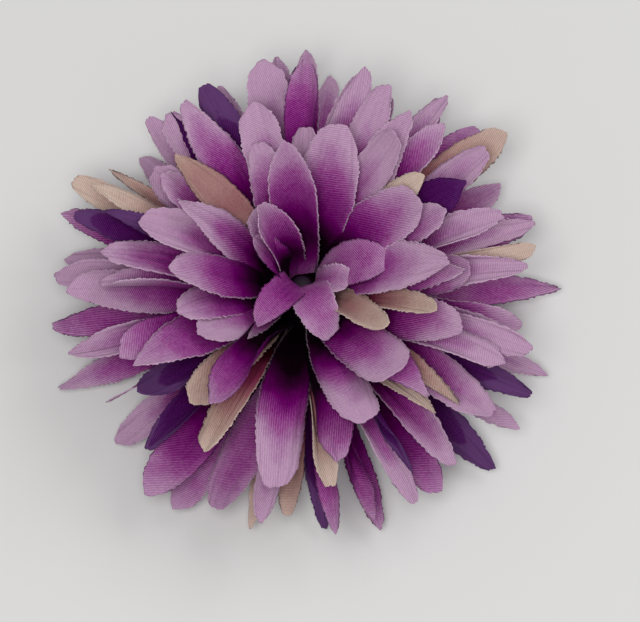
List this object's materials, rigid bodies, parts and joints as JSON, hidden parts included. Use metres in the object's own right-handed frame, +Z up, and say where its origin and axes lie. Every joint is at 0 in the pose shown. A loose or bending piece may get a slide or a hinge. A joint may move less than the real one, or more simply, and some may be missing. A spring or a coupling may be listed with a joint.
{
  "type": "artificial chrysanthemum flower head",
  "caption": "Domed head of layered die-cut satin rosettes threaded on a moulded pin over a moulded calyx.",
  "frame": {"origin": "centre of the calyx's flat underside, on which the head rests", "axes": "+Z up along the pin, out of the middle of the bloom; +X to the right and -Y towards the viewer in the picture"},
  "size_m": [0.121, 0.1215, 0.0532],
  "materials": {
    "petal_satin": "printed polyester satin, lilac with deep purple roots",
    "calyx_plastic": "moulded, matte green",
    "pin_plastic": "moulded, matte dark purple"
  },
  "bodies": {
    "root": {"calyx": "calyx_plastic", "pin": "pin_plastic", "rosette_1": "petal_satin", "rosette_2": "petal_satin", "rosette_3": "petal_satin", "rosette_4": "petal_satin", "rosette_5": "petal_satin", "rosette_6": "petal_satin", "rosette_7": "petal_satin", "rosette_8": "petal_satin", "rosette_9": "petal_satin"}
  },
  "joints": []
}
